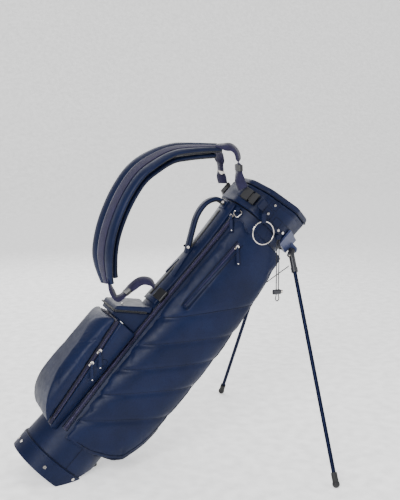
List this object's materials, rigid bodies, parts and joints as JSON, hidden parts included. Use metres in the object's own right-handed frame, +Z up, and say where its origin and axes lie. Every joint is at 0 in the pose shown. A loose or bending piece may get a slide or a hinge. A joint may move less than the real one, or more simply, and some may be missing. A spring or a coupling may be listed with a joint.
{
  "type": "golf stand bag",
  "caption": "Slim stand bag for golf clubs, leaning on two fold-out legs, with padded double shoulder strap, divided mouth and zipped pockets.",
  "frame": {"origin": "on the ground under the middle of the standing bag's footprint, without the drawcord", "axes": "+X towards the leg side, +Y across the bag to its far side, +Z up; the bag's own axis leans 44.2 degrees towards +X"},
  "size_m": [0.7596, 0.7024, 0.7954],
  "materials": {
    "navy_leather": "fine-grained satin synthetic leather",
    "navy_webbing": "woven polyester webbing",
    "black_mesh": "spacer mesh",
    "black_lining": "matt woven lining",
    "zip_tape": "woven tape with moulded teeth",
    "black_plastic": "matt moulded nylon",
    "grey_plastic": "satin moulded nylon",
    "navy_plastic": "satin moulded nylon",
    "black_rubber": "matt rubber",
    "navy_tube": "satin anodised",
    "nickel": "polished",
    "black_steel": "satin black",
    "black_cord": "braided cord"
  },
  "bodies": {
    "bag": {"base_cup": "navy_leather", "rivets": "nickel", "hinge_pins": "nickel", "body_shell": "navy_leather", "lining": "black_lining", "side_pocket_near": "navy_leather", "side_pocket_far": "navy_leather", "garment_zip": "zip_tape", "valuables_zip": "zip_tape", "ball_pocket": "navy_leather", "ball_pocket_door": "navy_leather", "ball_zip": "zip_tape", "pouch": "navy_leather", "spine_panel": "navy_leather", "patches": "navy_leather", "handle": "navy_leather", "collar": "navy_leather", "collar_rim": "navy_leather", "divider_across": "navy_leather", "divider_lengthwise": "navy_leather", "divider_sheets": "black_lining", "ring_tabs": "navy_leather", "buckle_sockets": "black_plastic", "buckle_plugs": "black_plastic", "buckle_lower": "black_plastic", "leg_bracket": "navy_plastic", "rod_guides": "black_plastic", "leg_pad": "navy_leather", "cord_outlet": "navy_leather", "drawcord": "black_cord"},
    "base_lever": {"base_lever": "black_rubber"},
    "pouch_flap": {"pouch_flap": "navy_leather"},
    "towel_ring": {"towel_ring": "nickel"},
    "d_ring": {"d_ring": "nickel"},
    "garment_slider": {"garment_slider": "nickel"},
    "garment_pull": {"garment_pull": "navy_leather"},
    "valuables_slider": {"valuables_slider": "nickel"},
    "valuables_pull": {"valuables_pull": "navy_leather"},
    "ball_slider_upper": {"ball_slider_upper": "nickel"},
    "ball_pull_upper": {"ball_pull_upper": "navy_leather"},
    "ball_slider_lower": {"ball_slider_lower": "nickel"},
    "ball_pull_lower": {"ball_pull_lower": "navy_leather"},
    "strap": {"strap_pad_near": "navy_leather", "strap_pad_far": "black_mesh", "webbing": "navy_webbing", "adjusters": "black_plastic", "adjuster_upper_far": "nickel"},
    "leg_near": {"leg_socket_near": "grey_plastic", "leg_tube_near": "navy_tube", "leg_shoe_near": "black_rubber"},
    "leg_far": {"leg_socket_far": "grey_plastic", "leg_tube_far": "navy_tube", "leg_shoe_far": "black_rubber"},
    "push_mechanism": {"push_block": "black_plastic", "push_rod": "black_steel"},
    "wire_near": {"wire_near": "black_steel"},
    "wire_far": {"wire_far": "black_steel"},
    "cord_lock": {"cord_lock": "grey_plastic"},
    "cord_lock_button": {"cord_lock_button": "nickel"}
  },
  "joints": [
    {"name": "leg_near_fold", "type": "hinge", "parent": "bag", "child": "leg_near", "pos_m": [0.32762, -0.062, 0.5109], "axis": [0.5801, 0.5547, 0.5965], "range_deg": [0, 91]},
    {"name": "leg_far_fold", "type": "hinge", "parent": "bag", "child": "leg_far", "pos_m": [0.32762, 0.062, 0.5109], "axis": [-0.5801, 0.5547, -0.5965], "range_deg": [0, 91]},
    {"name": "push_slide", "type": "slide", "parent": "bag", "child": "push_mechanism", "axis": [-0.6972, 0, -0.7169], "range_m": [0, 0.0146]},
    {"name": "wire_near_swing", "type": "hinge", "parent": "push_mechanism", "child": "wire_near", "pos_m": [0.17895, -0.022, 0.37093], "axis": [-0.5783, -0.7035, 0.413], "range_deg": [0, 10.2]},
    {"name": "wire_far_swing", "type": "hinge", "parent": "push_mechanism", "child": "wire_far", "pos_m": [0.17895, 0.022, 0.37093], "axis": [0.5783, -0.7035, -0.413], "range_deg": [0, 10.2]},
    {"name": "base_lever_swing", "type": "hinge", "parent": "bag", "child": "base_lever", "pos_m": [-0.245, 0, 0.0065], "axis": [0, 1, 0], "range_deg": [0, 18.2]},
    {"name": "pouch_flap_hinge", "type": "hinge", "parent": "bag", "child": "pouch_flap", "pos_m": [-0.04347, 0, 0.39752], "axis": [0, 1, 0], "range_deg": [0, 7]},
    {"name": "towel_ring_swing", "type": "hinge", "parent": "bag", "child": "towel_ring", "pos_m": [0.22555, -0.1075, 0.60389], "axis": [-1, 0, 0], "range_deg": [0, 100]},
    {"name": "d_ring_swing", "type": "hinge", "parent": "bag", "child": "d_ring", "pos_m": [0.18027, -0.05746, 0.6263], "axis": [-0.7113, 0.7029, 0.0029], "range_deg": [0, 80]},
    {"name": "garment_zip_slide", "type": "slide", "parent": "bag", "child": "garment_slider", "axis": [0.6562, -0.0362, 0.7538], "range_m": [-0.05, 0]},
    {"name": "garment_pull_swing", "type": "hinge", "parent": "garment_slider", "child": "garment_pull", "pos_m": [0.16207, -0.05449, 0.61332], "axis": [-0.4886, -0.7317, 0.4752], "range_deg": [-20, 20]},
    {"name": "valuables_zip_slide", "type": "slide", "parent": "bag", "child": "valuables_slider", "axis": [0.7094, -0.0209, 0.7045], "range_m": [-0.08, 0]},
    {"name": "valuables_pull_swing", "type": "hinge", "parent": "valuables_slider", "child": "valuables_pull", "pos_m": [0.16239, -0.0934, 0.53907], "axis": [0.0343, -0.9936, 0.108], "range_deg": [-20, 20]},
    {"name": "ball_zip_slide_upper", "type": "slide", "parent": "bag", "child": "ball_slider_upper", "axis": [0.592, 0, 0.8059], "range_m": [0, 0.03]},
    {"name": "ball_pull_upper_swing", "type": "hinge", "parent": "ball_slider_upper", "child": "ball_pull_upper", "pos_m": [-0.18496, -0.0818, 0.31193], "axis": [0, -1, 0], "range_deg": [-12, 20]},
    {"name": "ball_zip_slide_lower", "type": "slide", "parent": "bag", "child": "ball_slider_lower", "axis": [0.592, 0, 0.8059], "range_m": [-0.08, 0]},
    {"name": "ball_pull_lower_swing", "type": "hinge", "parent": "ball_slider_lower", "child": "ball_pull_lower", "pos_m": [-0.20528, -0.0818, 0.28427], "axis": [0, -1, 0], "range_deg": [-20, 20]},
    {"name": "strap_swing", "type": "hinge", "parent": "bag", "child": "strap", "pos_m": [0.08154, -0.015, 0.5605], "axis": [0.6972, 0, 0.7169], "range_deg": [-8, 8]},
    {"name": "cord_lock_slide", "type": "slide", "parent": "bag", "child": "cord_lock", "axis": [0, 0, 1], "range_m": [0, 0.09]},
    {"name": "cord_lock_press", "type": "slide", "parent": "cord_lock", "child": "cord_lock_button", "axis": [-1, 0, 0], "range_m": [0, 0.0025], "stiffness_N_per_m": 600, "springref_m": -0.001}
  ],
  "couplings": [
    {"joint": "leg_far_fold", "follows": "leg_near_fold", "ratio": 1},
    {"joint": "push_slide", "follows": "leg_near_fold", "m_per_rad": 0.009004},
    {"joint": "wire_near_swing", "follows": "leg_near_fold", "ratio": 0.11},
    {"joint": "wire_far_swing", "follows": "leg_near_fold", "ratio": 0.11},
    {"joint": "base_lever_swing", "follows": "leg_near_fold", "ratio": 0.1978}
  ]
}
